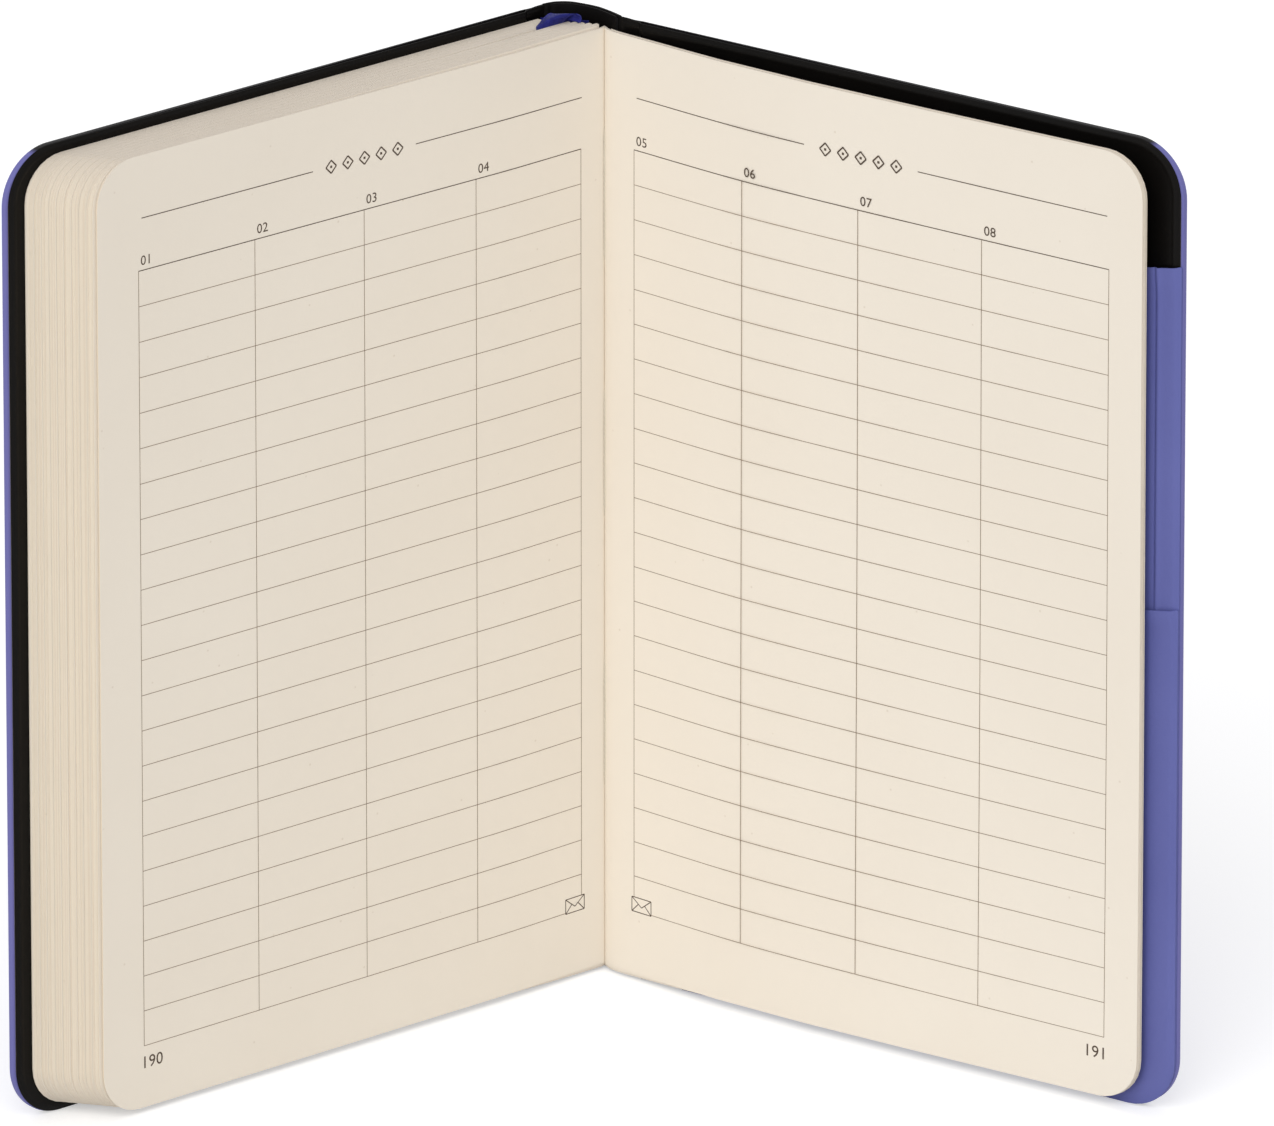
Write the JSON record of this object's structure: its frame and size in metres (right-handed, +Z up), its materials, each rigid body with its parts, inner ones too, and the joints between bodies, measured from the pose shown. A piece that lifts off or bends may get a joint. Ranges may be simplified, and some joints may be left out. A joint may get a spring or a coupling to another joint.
{
  "type": "hardcover notebook",
  "caption": "Hard-cover ruled notebook with sewn sections, ribbon marker and back pocket, standing upright and open near its last pages; covers, spine and leaves turn.",
  "frame": {"origin": "middle of the footprint, on the surface that the notebook stands on", "axes": "+X along the line between the two open fore-edges, to the right as the reader sees it; +Y away from the reader, towards the spine; +Z up, from tail to head"},
  "size_m": [0.2044, 0.079, 0.18],
  "materials": {
    "cover_skin": "soft, fine-grained, satin",
    "pocket": "soft, matte",
    "lining": "black, slightly glossy",
    "board": "grey board, matte",
    "paper": "cream, matte",
    "gauze": "open weave, matte",
    "ribbon": "woven, satin",
    "thread": "waxed, matte"
  },
  "bodies": {
    "page_block": {"section_01": "paper"},
    "front_cover": {"front_cover_skin": "cover_skin", "front_cover_board": "board", "front_cover_lining": "lining"},
    "front_flyleaf": {"front_flyleaf": "paper"},
    "first_leaf": {"first_leaf": "paper"},
    "spine": {"spine_skin": "cover_skin", "spine_card": "board", "spine_lining": "lining"},
    "back_cover": {"back_cover_skin": "cover_skin", "back_cover_board": "board", "back_cover_lining": "lining", "pocket_upper": "pocket", "pocket_lower": "pocket"},
    "binding": {"binding_gauze": "gauze", "ribbon_glued_end": "ribbon"},
    "section_02": {"section_02": "paper"},
    "section_03": {"section_03": "paper"},
    "section_04": {"section_04": "paper", "ribbon_marker": "ribbon"},
    "section_05": {"section_05": "paper"},
    "section_06": {"section_06": "paper"},
    "section_07": {"section_07": "paper"},
    "section_08": {"section_08": "paper"},
    "section_09": {"section_09": "paper"},
    "section_10": {"section_10": "paper", "stitch_1": "thread", "stitch_2": "thread", "stitch_3": "thread"},
    "open_leaves": {"open_leaf_1": "paper", "open_leaf_2": "paper", "open_leaf_3": "paper", "open_leaf_4": "paper", "open_leaf_5": "paper", "back_flyleaf": "paper"}
  },
  "joints": [
    {"name": "front_cover_hinge", "type": "hinge", "parent": "page_block", "child": "front_cover", "pos_m": [-0.00585, 0.03836, 0.09], "axis": [0, 0, -1], "range_deg": [0, 160]},
    {"name": "front_flyleaf_turn", "type": "hinge", "parent": "page_block", "child": "front_flyleaf", "pos_m": [-0.00643, 0.03578, 0.09], "axis": [0, 0, -1], "range_deg": [0, 80]},
    {"name": "first_leaf_turn", "type": "hinge", "parent": "page_block", "child": "first_leaf", "pos_m": [-0.00643, 0.03578, 0.09], "axis": [0, 0, -1], "range_deg": [0, 48]},
    {"name": "spine_hinge", "type": "hinge", "parent": "page_block", "child": "spine", "pos_m": [-0.00585, 0.03836, 0.09], "axis": [0, 0, 1], "range_deg": [-27.1, 18.5]},
    {"name": "back_cover_hinge", "type": "hinge", "parent": "spine", "child": "back_cover", "pos_m": [0.00786, 0.03152, 0.09], "axis": [0, 0, 1], "range_deg": [-80, 54.5]},
    {"name": "binding_turn", "type": "hinge", "parent": "page_block", "child": "binding", "pos_m": [-0.00602, 0.03607, 0.09], "axis": [0, 0, 1], "range_deg": [-40.8, 27.8]},
    {"name": "section_02_slide", "type": "slide", "parent": "page_block", "child": "section_02", "axis": [-0.8039, -0.5948, 0], "range_m": [-0.00056, 0.00081]},
    {"name": "section_03_slide", "type": "slide", "parent": "page_block", "child": "section_03", "axis": [-0.8039, -0.5948, 0], "range_m": [-0.0011, 0.00161]},
    {"name": "section_04_slide", "type": "slide", "parent": "page_block", "child": "section_04", "axis": [-0.8039, -0.5948, 0], "range_m": [-0.00164, 0.00241]},
    {"name": "section_05_slide", "type": "slide", "parent": "page_block", "child": "section_05", "axis": [-0.8039, -0.5948, 0], "range_m": [-0.00219, 0.00321]},
    {"name": "section_06_slide", "type": "slide", "parent": "page_block", "child": "section_06", "axis": [-0.8039, -0.5948, 0], "range_m": [-0.00274, 0.00401]},
    {"name": "section_07_slide", "type": "slide", "parent": "page_block", "child": "section_07", "axis": [-0.8039, -0.5948, 0], "range_m": [-0.00328, 0.00481]},
    {"name": "section_08_slide", "type": "slide", "parent": "page_block", "child": "section_08", "axis": [-0.8039, -0.5948, 0], "range_m": [-0.00382, 0.00561]},
    {"name": "section_09_slide", "type": "slide", "parent": "page_block", "child": "section_09", "axis": [-0.8039, -0.5948, 0], "range_m": [-0.00437, 0.00641]},
    {"name": "section_10_slide", "type": "slide", "parent": "page_block", "child": "section_10", "axis": [-0.8039, -0.5948, 0], "range_m": [-0.00478, 0.00701]},
    {"name": "open_leaves_turn", "type": "hinge", "parent": "section_10", "child": "open_leaves", "pos_m": [0.00565, 0.03005, 0.09], "axis": [0, 0, 1], "range_deg": [-107.1, 73]}
  ],
  "couplings": [
    {"joint": "front_flyleaf_turn", "follows": "front_cover_hinge", "ratio": 0.5},
    {"joint": "first_leaf_turn", "follows": "front_cover_hinge", "ratio": 0.3},
    {"joint": "spine_hinge", "follows": "back_cover_hinge", "ratio": 0.3375},
    {"joint": "binding_turn", "follows": "back_cover_hinge", "ratio": 0.50825},
    {"joint": "section_02_slide", "follows": "back_cover_hinge", "m_per_rad": -0.00057296},
    {"joint": "section_03_slide", "follows": "back_cover_hinge", "m_per_rad": -0.0011459},
    {"joint": "section_04_slide", "follows": "back_cover_hinge", "m_per_rad": -0.0017189},
    {"joint": "section_05_slide", "follows": "back_cover_hinge", "m_per_rad": -0.0022918},
    {"joint": "section_06_slide", "follows": "back_cover_hinge", "m_per_rad": -0.0028648},
    {"joint": "section_07_slide", "follows": "back_cover_hinge", "m_per_rad": -0.0034377},
    {"joint": "section_08_slide", "follows": "back_cover_hinge", "m_per_rad": -0.0040107},
    {"joint": "section_09_slide", "follows": "back_cover_hinge", "m_per_rad": -0.0045837},
    {"joint": "section_10_slide", "follows": "back_cover_hinge", "m_per_rad": -0.0050134},
    {"joint": "open_leaves_turn", "follows": "back_cover_hinge", "ratio": 1.3375}
  ]
}
